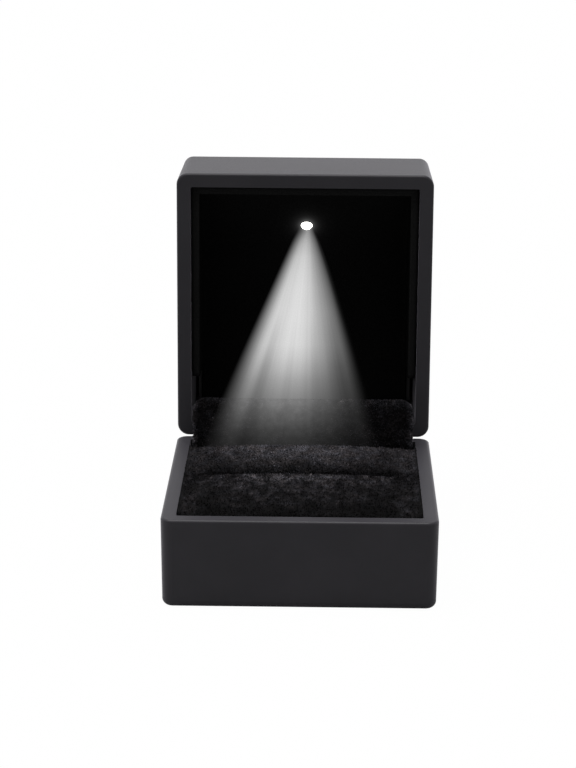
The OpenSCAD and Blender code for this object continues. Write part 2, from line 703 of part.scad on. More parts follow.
module resistor() color([0.85, 0.75, 0.55]) open_lid() at_lamp()
    translate([0, resistor_span, board_z - board_thick - resistor_r - 0.15]) {
        rotate([0, 90, 0]) cylinder(r = resistor_r, h = resistor_length, center = true);
        rotate([0, 90, 0]) cylinder(r = resistor_lead_r, h = 2 * resistor_span, center = true);
        for (s = [-1, 1]) translate([s * resistor_span, 0, 0]) {
            sphere(resistor_lead_r);
            cylinder(r = resistor_lead_r, h = resistor_r + 0.1);
        }
    }

cell_r = cell_diameter / 2;
cell_x = cell_r + 1;
hold_y = 3;
hold_margin = 3;
strap_half = 1.5;

module battery_holder() color(black) open_lid() translate([0, hold_y, 0]) difference() {
    translate([0, 0, hold_z]) linear_extrude(hold_floor + contact + cell_thickness)
        round_rect(4 * cell_r + 2 * hold_margin, 2 * cell_r + hold_margin, 1.5);
    for (s = [-1, 1]) translate([s * cell_x, 0, cell_z - contact])
        cylinder(r = cell_r + 0.2, h = contact + cell_thickness + 1);
    block([-cell_x, -strap_half - 0.1, cell_z - contact],
        [cell_x, strap_half + 0.1, cell_z + cell_thickness + 1]);
}

module coin_cell(s) color(steel) open_lid() translate([s * cell_x, hold_y, cell_z]) {
    cylinder(r = cell_r - 0.6, h = 0.3);
    translate([0, 0, 0.3]) cylinder(r = cell_r, h = cell_thickness - 0.3);
}
module cell_left() coin_cell(-1);
module cell_right() coin_cell(1);

module cell_bridge() color(nickel) open_lid() translate([0, hold_y, 0])
    block([-cell_x - 1, -strap_half + 0.1, cell_z - contact], [cell_x + 1, strap_half - 0.1, cell_z]);

// contacts on the cells' faces, bent down over the holder's ends
module cell_clips() color(nickel) open_lid() for (s = [-1, 1]) translate([0, hold_y, 0]) {
    edge = 2 * cell_r + hold_margin + 0.1;
    x = [s * (cell_x - 2), s * (edge + contact)];
    block([min(x), -strap_half, cell_z + cell_thickness], [max(x), strap_half, lead_z]);
    w = [s * edge, s * (edge + contact)];
    block([min(w), -strap_half, hold_z], [max(w), strap_half, lead_z]);
}

// point given in the lamp's own frame, in the frame of the shut lid
function from_lamp(p) = [lamp_right + p.x, lamp_y - p.y * cos(lamp_tilt) + p.z * sin(lamp_tilt),
    rim_z + lamp_depth - p.y * sin(lamp_tilt) - p.z * cos(lamp_tilt)];

// flat leads: left cell to the board, right cell to the switch, switch to the board
module wires() color(black) open_lid() {
    clip_x = 2 * cell_r + 1.6;
    pad_x = board_size.x / 2 - 2.2;
    board_end = from_lamp([0, -board_size.y / 2, board_z - board_thick]).y - 0.3;
    turn_y = board_end + 3;
    down_y = lead_y + wire_r;
    translate([0, 0, lead_z]) linear_extrude(2 * wire_r) {
        stroke([[-clip_x, hold_y - 0.8], [-clip_x, -10], [lamp_right - pad_x, turn_y],
            [lamp_right - pad_x, board_end]], wire_r);
        stroke([[clip_x, hold_y + 0.8], [clip_x, 20], [lead_x, lead_y - 3], [lead_x, down_y]], wire_r);
        stroke([[-lead_x, down_y], [-lead_x, -8], [lamp_right + pad_x, turn_y],
            [lamp_right + pad_x, board_end]], wire_r);
    }
    for (x = [-lead_x, lead_x])
        block([x - wire_r, lead_y - wire_r, rim_z + switch_far + 0.05],
            [x + wire_r, lead_y + wire_r, lead_z + wire_r]);
}

base_shell();
cushion_board();
foam_front();
foam_rear();
cushion_velvet();
upstand_core();
upstand_velvet();
base_leaf();
base_leaf_screws();
snap_springs();
hinge_pin();
switch_cam();
lid_shell();
lid_leaf();
lid_leaf_screws();
lining_tray();
lining_velvet();
lamp();
lamp_leads();
lamp_holder();
circuit_board();
resistor();
battery_holder();
cell_left();
cell_right();
cell_bridge();
cell_clips();
switch_body();
switch_screws();
switch_plunger();
wires();
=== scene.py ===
"""Looks of a ring display box with a lamp in its lid, standing open."""

import bmesh
import bpy
import numpy as np
from bpy.props import FloatProperty, FloatVectorProperty, IntProperty, PointerProperty
from mathutils import Matrix


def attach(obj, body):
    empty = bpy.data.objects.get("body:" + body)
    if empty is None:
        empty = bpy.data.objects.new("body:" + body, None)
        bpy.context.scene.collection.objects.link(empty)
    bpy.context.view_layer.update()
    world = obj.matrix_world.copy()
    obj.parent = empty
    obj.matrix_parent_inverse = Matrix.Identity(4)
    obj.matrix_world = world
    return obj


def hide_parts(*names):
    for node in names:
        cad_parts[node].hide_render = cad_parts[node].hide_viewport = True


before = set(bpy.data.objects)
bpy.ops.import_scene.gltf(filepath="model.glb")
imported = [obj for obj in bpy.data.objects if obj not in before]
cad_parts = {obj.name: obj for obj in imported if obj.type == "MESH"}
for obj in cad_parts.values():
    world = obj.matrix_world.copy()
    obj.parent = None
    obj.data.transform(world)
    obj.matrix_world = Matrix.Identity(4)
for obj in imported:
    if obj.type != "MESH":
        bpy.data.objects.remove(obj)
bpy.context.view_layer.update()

bl_info = {
    "name": "Ring display box",
    "version": (1, 0, 0),
    "blender": (4, 5, 0),
    "location": "View3D > Sidebar > Ring box",
    "description": "Velvet, flock, soft-touch plastic and lamp of a ring display box",
    "category": "Object",
}

MM = 0.001

# places in millimetres, as the solids have them
HINGE_Y, HINGE_Z, LID_RIM = 31.65, 20.15, 20.3
BASE_CAVITY = (-26.9, -28.95, 1.3), (26.9, 30, 19.9)
LID_CAVITY = (-26.9, 32.2, 23.2), (26.9, 55.8, 80.4)
LENS = (0.3, 68.5)


# ---- small tools ----

def linear(text):
    """Linear colour of an sRGB hex value: v / 12.92 below 0.04045, else ((v + 0.055) / 1.055) ^ 2.4."""
    v = np.array([int(text[i:i + 2], 16) for i in (1, 3, 5)]) / 255
    v = np.where(v <= 0.04045, v / 12.92, ((v + 0.055) / 1.055) ** 2.4)
    return (*v.tolist(), 1.0)


def add(tree, kind, links=None, **properties):
    """Adds a node, sets its properties, and sets or links its inputs by name or number."""
    made = tree.nodes.new(kind)
    for key, value in properties.items():
        setattr(made, key, value)
    for key, value in (links or {}).items():
        if isinstance(value, bpy.types.NodeSocket):
            tree.links.new(value, made.inputs[key])
        else:
            made.inputs[key].default_value = value
    return made


def graph(tree, value, points, ease="LINEAR"):
    """A curve through points of (value, grey or colour), held beyond its ends."""
    low, high = points[0][0], points[-1][0]
    made = add(tree, "ShaderNodeValToRGB", {0: between(tree, value, low, high)})
    ramp = made.color_ramp
    ramp.interpolation = ease
    while len(ramp.elements) < len(points):
        ramp.elements.new(0.5)
    for element, (v, k) in zip(ramp.elements, points):
        element.position = (v - low) / (high - low)
        element.color = k if hasattr(k, "__len__") else (k, k, k, 1)
    return made.outputs[0]


def new_material(name):
    """Empty material with its Principled shader, and object coordinates in millimetres."""
    made = bpy.data.materials.new(name)
    made.use_nodes = True
    tree = made.node_tree
    tree.nodes.clear()
    shader = add(tree, "ShaderNodeBsdfPrincipled")
    add(tree, "ShaderNodeOutputMaterial", {"Surface": shader.outputs[0]})
    place = add(tree, "ShaderNodeTexCoord").outputs["Object"]
    place = add(tree, "ShaderNodeVectorMath", {0: place, "Scale": 1 / MM}, operation="SCALE").outputs[0]
    return made, tree, shader, place


def grain(tree, place, size, detail=2.0, roughness=0.5):
    """Noise whose cells are about size millimetres across."""
    links = {"Vector": place, "Scale": 1 / size, "Detail": detail, "Roughness": roughness}
    return add(tree, "ShaderNodeTexNoise", links).outputs["Fac"]


def math(tree, operation, a, b=0.0, clamp=False):
    """One step of arithmetic on a and b."""
    return add(tree, "ShaderNodeMath", {0: a, 1: b}, operation=operation, use_clamp=clamp).outputs[0]


def between(tree, value, low, high, to_low=0.0, to_high=1.0):
    """Maps value from low..high to to_low..to_high, held at the ends."""
    links = {"Value": value, "From Min": low, "From Max": high, "To Min": to_low, "To Max": to_high}
    return add(tree, "ShaderNodeMapRange", links).outputs[0]


def shaded(tree, colour, shade):
    """Colour times shade."""
    return add(tree, "ShaderNodeVectorMath", {0: colour, "Scale": shade}, operation="SCALE").outputs[0]


def inside(tree, place, low, high):
    """1 inside the box from low to high, where the largest of |place - middle| - half is below 0, else 0."""
    low, high = np.array(low), np.array(high)
    off = add(tree, "ShaderNodeVectorMath", {0: place, 1: (low + high) / 2}, operation="SUBTRACT").outputs[0]
    off = add(tree, "ShaderNodeVectorMath", {0: off}, operation="ABSOLUTE").outputs[0]
    off = add(tree, "ShaderNodeVectorMath", {0: off, 1: (high - low) / 2}, operation="SUBTRACT").outputs[0]
    off = add(tree, "ShaderNodeSeparateXYZ", {0: off}).outputs
    return math(tree, "LESS_THAN", math(tree, "MAXIMUM", math(tree, "MAXIMUM", off[0], off[1]), off[2]), 0.0)


def bumped(tree, shader, height, distance, strength=1.0):
    """Gives the shader a bump of that height field, distance in millimetres."""
    links = {"Height": height, "Distance": distance * MM, "Strength": strength}
    tree.links.new(add(tree, "ShaderNodeBump", links).outputs[0], shader.inputs["Normal"])


def quads(rows, cols, start=0, flip=False):
    """Faces between the neighbours of a grid of rows x cols points."""
    j, i = np.mgrid[0:rows - 1, 0:cols - 1]
    a = (start + j * cols + i).ravel()
    made = np.stack([a, a + 1, a + cols + 1, a + cols], 1)
    return made[:, ::-1] if flip else made


def strip(a, b, flip=False):
    """Faces between two rows of point numbers."""
    a, b = np.asarray(a), np.asarray(b)
    made = np.stack([a[:-1], a[1:], b[1:], b[:-1]], 1)
    return made[:, ::-1] if flip else made


def piece(name, points, faces, material, body, slot, *nodes):
    """Makes a smooth mesh piece from points in millimetres, riding on body, standing for nodes."""
    mesh = bpy.data.meshes.new(name)
    mesh.from_pydata((np.asarray(points).reshape(-1, 3) * MM).tolist(), [], np.asarray(faces).tolist())
    mesh.validate()
    mesh.shade_smooth()
    mesh.materials.append(material)
    made = bpy.data.objects.new(name, mesh)
    bpy.context.scene.collection.objects.link(made)
    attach(made, body)
    if nodes:
        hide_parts(*nodes)
    return made


def weld(made, distance):
    """Joins doubled points, so that seams are closed."""
    work = bmesh.new()
    work.from_mesh(made.data)
    bmesh.ops.remove_doubles(work, verts=work.verts, dist=distance)
    bmesh.ops.dissolve_degenerate(work, edges=work.edges, dist=distance / 10)
    work.to_mesh(made.data)
    work.free()


def finer(points, n):
    """Catmull-Rom curve through points along axis 1, n steps between each two: between b and c, with
    a before and d after, (2b + (c - a) t + (2a - 5b + 4c - d) t^2 + (3b - a - 3c + d) t^3) / 2."""
    p = np.concatenate([2 * points[:, :1] - points[:, 1:2], points, 2 * points[:, -1:] - points[:, -2:-1]], 1)
    t = (np.arange(n) / n)[None, None, :, None]
    a, b, c, d = (p[:, k:p.shape[1] - 3 + k, None] for k in range(4))
    made = 0.5 * (2 * b + (c - a) * t + (2 * a - 5 * b + 4 * c - d) * t ** 2
                  + (3 * b - a - 3 * c + d) * t ** 3)
    made = made.reshape(points.shape[0], -1, points.shape[2])
    return np.concatenate([made, points[:, -1:]], 1)


def normals(grid):
    """Unit normals of a grid of points, from the cross product of its two tangents."""
    n = np.cross(np.gradient(grid, axis=0), np.gradient(grid, axis=1))
    return n / np.maximum(np.linalg.norm(n, axis=2, keepdims=True), 1e-9)


def ruffle(shape, seed, spread=1):
    """Seeded random heights on a grid, averaged with their neighbours spread times."""
    h = np.random.default_rng(seed).standard_normal(shape)
    for _ in range(spread):
        h = (np.roll(h, 1, 0) + np.roll(h, -1, 0) + np.roll(h, 1, 1) + np.roll(h, -1, 1) + 2 * h) / 6
    return h / h.std()


def tufts(name, grid, count, finish, material, body, seed, lean=(0, 0, 0), keep=None):
    """Pile standing on a grid: tetrahedra at count seeded places, less those that keep turns down, each
    with three feet on a circle about as wide as a tuft round the place, a little below the cloth's
    face, and a tip along the normal, leaning by lean and a seeded amount. The attribute tip is 0 at
    the feet and 1 at the tip."""
    random = np.random.default_rng(seed)
    up = normals(grid)
    rows, cols, _ = grid.shape
    i, j = random.random(count) * (rows - 1.001), random.random(count) * (cols - 1.001)
    a, b = i.astype(int), j.astype(int)
    u, v = (i - a)[:, None], (j - b)[:, None]

    def at(g):
        return ((g[a, b] * (1 - u) + g[a + 1, b] * u) * (1 - v)
                + (g[a, b + 1] * (1 - u) + g[a + 1, b + 1] * u) * v)

    foot, n = at(grid), at(up)
    if keep is not None:
        chosen = keep(foot)
        foot, n = foot[chosen], n[chosen]
    n /= np.linalg.norm(n, axis=1, keepdims=True)
    side = np.cross(n, random.standard_normal(n.shape))
    side /= np.linalg.norm(side, axis=1, keepdims=True)
    other = np.cross(n, side)
    wide = finish.tuft * (0.35 + 0.35 * random.random((len(n), 1)))
    sunk, spread, turns = 0.08, 0.3, np.radians([0, 120, 240])
    feet = [foot - n * sunk + wide * (np.cos(w) * side + np.sin(w) * other) for w in turns]
    tilt = np.array(lean) + spread * random.standard_normal(n.shape)
    way = n + tilt - n * (tilt * n).sum(1, keepdims=True)
    tip = foot + way / np.linalg.norm(way, axis=1, keepdims=True) * finish.tuft_rise * (
        0.5 + random.random((len(n), 1)))
    points = np.stack([*feet, tip], 1)
    faces = 4 * np.arange(len(n))[:, None, None] + np.array([[0, 1, 3], [1, 2, 3], [2, 0, 3], [0, 2, 1]])
    made = piece(name, points, faces.reshape(-1, 3), material, body, "velvet")
    made.data.shade_flat()
    mark = made.data.attributes.new("tip", "FLOAT", "POINT")
    mark.data.foreach_set("value", np.tile([0.0, 0.0, 0.0, 1.0], len(n)))
    return made


def paint(material, *nodes):
    """Gives CAD nodes their material."""
    for name in nodes:
        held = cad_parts[name].data.materials
        held.clear()
        held.append(material)


# ---- sizes and colours a user would change ----

class ShellFinish(bpy.types.PropertyGroup):
    """Soft-touch plastic of the two shells."""
    colour: FloatVectorProperty(name="Colour", description="Body colour of the plastic", subtype="COLOR",
                                size=4, default=linear("#1f1e21"), min=0, max=1)
    grain_size: FloatProperty(name="Grain size", description="Width of the moulded texture's cells, in mm",
                              default=0.22, min=0.05, max=1)
    roughness: FloatProperty(name="Roughness", description="Roughness of the soft coat",
                             default=0.42, min=0, max=1)


class VelvetFinish(bpy.types.PropertyGroup):
    """Velvet of the cushion and the upstand, and flock of the lining."""
    pile_dark: FloatVectorProperty(name="Pile, dark", description="Colour between the tufts", subtype="COLOR",
                                   size=4, default=linear("#0c0c0c"), min=0, max=1)
    pile_light: FloatVectorProperty(name="Pile, light", description="Colour of the tufts' tips",
                                    subtype="COLOR", size=4, default=linear("#2e2c2f"), min=0, max=1)
    tuft: FloatProperty(name="Tuft size", description="Width of one tuft of the velvet, in mm",
                        default=0.42, min=0.1, max=2)
    tuft_rise: FloatProperty(name="Tuft rise", description="Height of a tuft above the cloth, in mm",
                             default=0.3, min=0.1, max=1)
    flock: FloatVectorProperty(name="Flock", description="Colour of the lining's flock", subtype="COLOR",
                               size=4, default=linear("#0b0b0b"), min=0, max=1)


class CushionSizes(bpy.types.PropertyGroup):
    """Form of the ring cushion."""
    slot_depth: FloatProperty(name="Slot depth", description="Depth of the ring slot, in mm",
                              default=7, min=4, max=8)
    tuft_height: FloatProperty(name="Tuft height", description="Unevenness of the pile, in mm",
                               default=0.07, min=0, max=0.2)
    stations: IntProperty(name="Stations", description="Sections across the cushion",
                          default=170, min=40, max=260)


class LightFan(bpy.types.PropertyGroup):
    """Fan of light that the lamp throws down the lining, painted on as emission."""
    brightness: FloatProperty(name="Brightness", description="Brightness of the fan's middle, 1 is white",
                              default=1.0, min=0, max=2)
    lamp: FloatProperty(name="Lamp", description="Brightness of the lamp's lens, 1 is white",
                        default=4, min=0, max=20)


class Studio(bpy.types.PropertyGroup):
    """Floor and light of the picture."""
    sky: FloatProperty(name="Sky", description="Strength of the even light from all round",
                       default=0.27, min=0, max=2)
    top: FloatProperty(name="Top light", description="Strength of the soft light from above",
                       default=5.9, min=0, max=8)


# ---- materials ----

def soft_touch_plastic(finish):
    """ABS moulded, then sprayed with a soft-touch coat: dark, satin, low gloss, a fine even grain."""
    made, tree, shader, place = new_material("soft_touch_ABS")
    cloud = grain(tree, place, 9.0)
    fine = grain(tree, place, finish.grain_size, 1.0)
    # painted shade: inside the two cavities the colour is drawn 0.12 times as bright, where shade falls; the
    # coat is sprayed from outside, so there the plastic is also bare and dull
    bare_and_shaded = math(tree, "ADD", inside(tree, place, *BASE_CAVITY), inside(tree, place, *LID_CAVITY))
    shade = math(tree, "MULTIPLY", between(tree, cloud, 0.3, 0.7, 0.9, 1.08),
                 between(tree, bare_and_shaded, 0, 1, 1, 0.12))
    tree.links.new(shaded(tree, finish.colour[:3], shade), shader.inputs["Base Color"])
    rough = between(tree, fine, 0.3, 0.7, finish.roughness - 0.05, finish.roughness + 0.05)
    rough = math(tree, "ADD", rough, math(tree, "MULTIPLY", bare_and_shaded, 0.5), True)
    tree.links.new(rough, shader.inputs["Roughness"])
    # a soft coat scatters at its face, so it mirrors less than bare ABS at the same IOR
    shader.inputs["IOR"].default_value = 1.5
    shader.inputs["Specular IOR Level"].default_value = 0.12
    # and like every rubbery coat it takes on a cool bloom where it is seen edge-on
    shader.inputs["Sheen Weight"].default_value = 0.13
    shader.inputs["Sheen Roughness"].default_value = 0.5
    shader.inputs["Sheen Tint"].default_value = linear("#dedae8")
    bumped(tree, shader, fine, 0.012, 0.6)
    return made


# how bright the fan is across its slope t, and how much its darker rays take away further down
FAN_FALL = ((-0.40, 0.85), (-0.33, 0.89), (-0.22, 0.92), (-0.15, 1.0), (-0.08, 0.99), (0.02, 0.83),
            (0.10, 0.575), (0.18, 0.375), (0.26, 0.19), (0.33, 0.03), (0.40, 0.0))
FAN_RAYS = ((-0.42, 0.82), (-0.34, 0.93), (-0.275, 0.66), (-0.20, 0.95), (-0.16, 1.0), (-0.12, 0.92),
            (-0.05, 1.0), (0.0, 0.92), (0.04, 0.78), (0.09, 0.83), (0.205, 0.55), (0.25, 0.7), (0.32, 0.7))
# slope at which the fan starts and is full, each as far + near / drop, on the left and on the right
FAN_EDGES = (((-0.435, -1.45), (-0.335, 1.05)), ((0.31, 1.4), (0.2, 1.4)))
# drop, in mm, over which the darker rays come in
RAYS_FROM, RAYS_TO = 24.0, 38.0


def painted_fan_of_light(tree, place, apex, fade, painted_halo=False):
    """Brightness of the lamp's fan of light at (x, z), painted on as emission, by the slope t = (x - apex x)
    / drop of the ray that falls there, with drop = apex z - z. The holder cuts the fan off softly at both
    sides, a little wider and softer near the lamp. One curve over t is the slower loss to the right, another
    the darker rays, and one over z the fade down the cloth. A painted halo of glow 0.018 (2.3 / r)^3.5 may
    surround the lens at distance r."""
    xyz = add(tree, "ShaderNodeSeparateXYZ", {0: place})
    drop = math(tree, "MAXIMUM", math(tree, "SUBTRACT", apex[1], xyz.outputs[2]), 0.5)
    t = math(tree, "DIVIDE", math(tree, "SUBTRACT", xyz.outputs[0], apex[0]), drop)
    edges = []
    for sides in FAN_EDGES:
        start, full = (math(tree, "ADD", math(tree, "DIVIDE", near, drop), far) for far, near in sides)
        edges.append(add(tree, "ShaderNodeMapRange", {"Value": t, "From Min": start, "From Max": full},
                         interpolation_type="SMOOTHSTEP").outputs[0])
    made = math(tree, "MULTIPLY", *edges)
    rays = add(tree, "ShaderNodeMix", {0: between(tree, drop, RAYS_FROM, RAYS_TO), 2: 1.0,
                                       3: graph(tree, t, FAN_RAYS, "EASE")}).outputs[0]
    fine = add(tree, "ShaderNodeTexNoise", {"W": t, "Scale": 40.0, "Detail": 1.0},
               noise_dimensions="1D").outputs["Fac"]
    bright = settings().fan.brightness
    for share in (graph(tree, t, FAN_FALL), rays, between(tree, fine, 0.25, 0.75, 0.97, 1.03),
                  graph(tree, xyz.outputs[2], [(z, bright * k) for z, k in fade])):
        made = math(tree, "MULTIPLY", made, share)
    # painted glow round the lens
    if painted_halo:
        flat = add(tree, "ShaderNodeVectorMath", {0: place, 1: (1, 0, 1)}, operation="MULTIPLY").outputs[0]
        r = add(tree, "ShaderNodeVectorMath", {0: flat, 1: (LENS[0], 0, LENS[1])},
                operation="DISTANCE").outputs["Value"]
        ring = math(tree, "POWER", math(tree, "DIVIDE", math(tree, "MAXIMUM", r, 1.6), 2.3), -3.5)
        made = math(tree, "ADD", made, math(tree, "MULTIPLY", ring, 0.018))
    return made


def black_velvet(finish, name, painted_light_along, along, across, contrast, ends=None, fan=None):
    """Woven polyester velvet, steamed: black, a soft grey on the tufts, mixed at random, and a tuft's feet
    drawn darker and its tip lighter, which is painted shade and painted sheen. The curves along one axis and
    along x are painted light and shade in the tips' colour: darker where shade falls, lighter where light
    falls and where the lamp's pool of light lies, and contrast is how uneven it is. From ends[0] to ends[1]
    off the middle the painted light along the axis goes over to the curve ends[2]. Where fan is given, the
    lamp's fan of light is painted on as emission."""
    made, tree, shader, place = new_material(name)
    xyz = add(tree, "ShaderNodeSeparateXYZ", {0: place})
    tip = add(tree, "ShaderNodeAttribute", attribute_name="tip").outputs["Fac"]
    wide = add(tree, "ShaderNodeMapping", {"Vector": place, "Scale": (1, 0.6, 1)}).outputs[0]
    # single tufts, clumps that lean together, patches that a thumb has brushed, and specks of lint
    tuft = grain(tree, wide, finish.tuft)
    clump = grain(tree, wide, 3 * finish.tuft)
    patch = grain(tree, wide, 8 * finish.tuft, 1.0)
    speck = grain(tree, place, 0.8 * finish.tuft, 0.0)
    light = np.array(finish.pile_light[:3])
    cool, warm = ((*(light * k), 1) for k in ((0.95, 1.0, 1.04), (1.04, 1.0, 0.95)))
    hue = graph(tree, grain(tree, place, 6 * finish.tuft, 1.0), [
        (0.38, cool), (0.5, (*light, 1)), (0.62, warm)])
    colour = add(tree, "ShaderNodeMix", {0: between(tree, tuft, 0.25, 0.75), 6: finish.pile_dark, 7: hue},
                 data_type="RGBA").outputs[2]
    # painted light and shade along the axis
    bright = graph(tree, xyz.outputs[along], painted_light_along)
    if ends is not None:
        past = between(tree, math(tree, "ABSOLUTE", xyz.outputs[0]), ends[0], ends[1])
        even = graph(tree, xyz.outputs[along], ends[2])
        bright = add(tree, "ShaderNodeMix", {0: past, 2: bright, 3: even}).outputs[0]
    uneven = math(tree, "MULTIPLY", between(tree, clump, 0.3, 0.7, 0.45, 1.55),
                  between(tree, patch, 0.32, 0.68, 0.5, 1.55))
    uneven = math(tree, "POWER", uneven, graph(tree, xyz.outputs[along], contrast))
    # across x: painted light and shade; the tip attribute: painted shade at a tuft's feet (0.8) and painted
    # sheen at its tip (1.1)
    for share in (graph(tree, xyz.outputs[0], across), uneven, between(tree, speck, 0.71, 0.8, 1.0, 4.5),
                  between(tree, tip, 0.0, 1.0, 0.8, 1.1)):
        bright = math(tree, "MULTIPLY", bright, share)
    tree.links.new(shaded(tree, colour, bright), shader.inputs["Base Color"])
    shader.inputs["Roughness"].default_value = 0.95
    shader.inputs["Specular IOR Level"].default_value = 0.03
    shader.inputs["Sheen Weight"].default_value = 0.02
    shader.inputs["Sheen Roughness"].default_value = 0.45
    shader.inputs["Sheen Tint"].default_value = linear("#b4b0b4")
    bumped(tree, shader, clump, 0.4, 0.5)
    # the lamp's fan of light, painted on as emission
    if fan is not None:
        glow = painted_fan_of_light(tree, place, *fan)
        glow = math(tree, "MULTIPLY", glow, between(tree, clump, 0.3, 0.7, 0.92, 1.08))
        tree.links.new(glow, shader.inputs["Emission Strength"])
        shader.inputs["Emission Color"].default_value = (1, 1, 1, 1)
    return made


def black_flock(finish, fan):
    """Nylon fibres 0.4 mm long blown onto glue: almost no reflection; its only light is the lamp's fan,
    painted on as emission.
    """
    made, tree, shader, place = new_material("nylon_flock")
    fibre = grain(tree, place, 0.3, 2.0, 0.6)
    shade = between(tree, fibre, 0.3, 0.7, 0.6, 1.5)
    # painted highlight: the border, where light from above falls, is drawn up to 2.2 times brighter than the
    # inside
    depth = add(tree, "ShaderNodeSeparateXYZ", {0: place}).outputs[1]
    shade = math(tree, "MULTIPLY", shade, between(tree, depth, 33.2, 34.4, 2.2, 1.0))
    tree.links.new(shaded(tree, finish.flock[:3], shade), shader.inputs["Base Color"])
    shader.inputs["Roughness"].default_value = 1.0
    shader.inputs["Specular IOR Level"].default_value = 0.0
    shader.inputs["Emission Color"].default_value = (1, 1, 1, 1)
    bumped(tree, shader, fibre, 0.15, 0.6)
    glow = painted_fan_of_light(tree, place, *fan)
    glow = math(tree, "MULTIPLY", glow, between(tree, fibre, 0.3, 0.7, 0.96, 1.04))
    tree.links.new(glow, shader.inputs["Emission Strength"])
    return made


def lamp_resin(fan):
    """Clear epoxy lens of a lit 3 mm lamp: the whole lens glows, a little unevenly."""
    made, tree, shader, place = new_material("epoxy_lamp_lens")
    shader.inputs["Base Color"].default_value = linear("#e9e9e4")
    shader.inputs["Roughness"].default_value = 0.15
    shader.inputs["Emission Color"].default_value = linear("#fffdf6")
    glow = between(tree, grain(tree, place, 1.2, 1.0), 0.3, 0.7, fan.lamp * 0.85, fan.lamp * 1.15)
    tree.links.new(glow, shader.inputs["Emission Strength"])
    return made


def metal(name, colour, roughness, cell, stretch=(1, 1, 1), bump=0.004):
    """Bare or plated metal: a grain stretched along the way it was rolled or turned."""
    made, tree, shader, place = new_material(name)
    place = add(tree, "ShaderNodeMapping", {"Vector": place, "Scale": stretch}).outputs[0]
    fine = grain(tree, place, cell, 3.0)
    dark = tuple(0.88 * c for c in linear(colour)[:3]) + (1,)
    tint = graph(tree, fine, [(0.3, dark), (0.7, linear(colour))])
    tree.links.new(tint, shader.inputs["Base Color"])
    shader.inputs["Metallic"].default_value = 1.0
    rough = between(tree, fine, 0.3, 0.7, roughness - 0.06, roughness + 0.08)
    tree.links.new(rough, shader.inputs["Roughness"])
    bumped(tree, shader, fine, bump, 0.5)
    return made


def moulding(name, colour, roughness, cell=0.5, bump=0.01, specular=0.5, shift=0.12):
    """Moulded, sawn or foamed stuff of one colour, its shade varied by shift over cells of that size."""
    made, tree, shader, place = new_material(name)
    fine = grain(tree, place, cell, 3.0, 0.6)
    low, high = (tuple(k * c for c in linear(colour)[:3]) + (1,) for k in (1 - shift, 1 + shift))
    tree.links.new(graph(tree, fine, [(0.35, low), (0.65, high)]), shader.inputs["Base Color"])
    rough = between(tree, fine, 0.3, 0.7, roughness - 0.05, roughness + 0.05)
    tree.links.new(rough, shader.inputs["Roughness"])
    shader.inputs["Specular IOR Level"].default_value = specular
    bumped(tree, shader, fine, bump, 0.6)
    return made


# ---- forms ----

# the cushion's place: its foot and top, its front, back and half width, its slot, and the velvet's thickness
FOOT, TOP = 9.3, 20.45
FRONT, BACK, HALF = -28.1, 23.75, 26.35
SLOT_Y, SLOT_HALF = 1.2, 21.5
CLOTH = 0.7
# steps of the curve between two of the section's points
SECTION_STEPS = 8
# the velvet's side edge (x, z), from the wall up and in: its pile fills the gap up to the shell's rim
EDGE = np.array([(26.3, 18.9), (26.45, 19.2), (26.6, 19.45), (26.7, 19.7), (26.76, 19.85), (26.76, 19.95),
                 (26.7, 19.97), (26.6, 19.95), (26.45, 19.9), (26.25, 19.86), (25.9, 19.8), (25.3, 19.7)])


def arc(centre, radius, a, b, n):
    """n + 1 points of a circle from angle a to b, in degrees."""
    w = np.radians(np.linspace(a, b, n + 1))
    return [(centre[0] + radius * np.cos(v), centre[1] + radius * np.sin(v)) for v in w]


def cushion_section(d, slot_depth):
    """Section points (y, z) of the velvet at depth d below its face, where the slot is open,
    and the same where it is closed. The second differs only beside the slot."""
    floor = TOP - slot_depth
    front = [(FRONT + d, FOOT), (FRONT + d + 0.1, FOOT + (TOP - FOOT) * 0.45)]
    front += arc((FRONT + 3.2, TOP - 4.1), 3 - d, 178, 96, 4)
    front += [(FRONT + 9, TOP - 0.45 - d), (FRONT + 16, TOP - 0.1 - d), (SLOT_Y - 6, TOP + 0.05 - d),
              (SLOT_Y - 2.6, TOP + 0.03 - d)]
    lips = arc((SLOT_Y - 1.3, TOP - 1), 1 - d, 86, 8, 2)
    rear_lips = arc((SLOT_Y + 5.4, TOP - 5.2), 5 - d, 176, 104, 4)
    rear = [(SLOT_Y + 8.4, TOP + 0.35 - d), (SLOT_Y + 13, TOP + 0.6 - d), (BACK - 5, TOP + 0.5 - d)]
    rear += arc((BACK - 2.6, TOP - 2.15), 2.5 - d, 84, 2, 3)
    rear += [(BACK - d - 0.02, FOOT + 4), (BACK - d, FOOT)]

    def sunk(points, g):
        return [(y, TOP - (TOP - z) * (0.25 + 0.75 * g)) for y, z in points]

    made = []
    for g, shut in ((1.0, 0.0), (0.0, 1.0)):
        slit = [(SLOT_Y - 0.22 - d, (floor + 0.8) * g + (TOP - 0.3) * shut - d),
                (SLOT_Y, floor * g + (TOP - 0.4) * shut - d),
                (SLOT_Y + 0.22 + d, (floor + 0.8) * g + (TOP - 0.35) * shut - d)]
        made.append(np.array(front + sunk(lips, g) + slit + sunk(rear_lips, g) + rear))
    return made


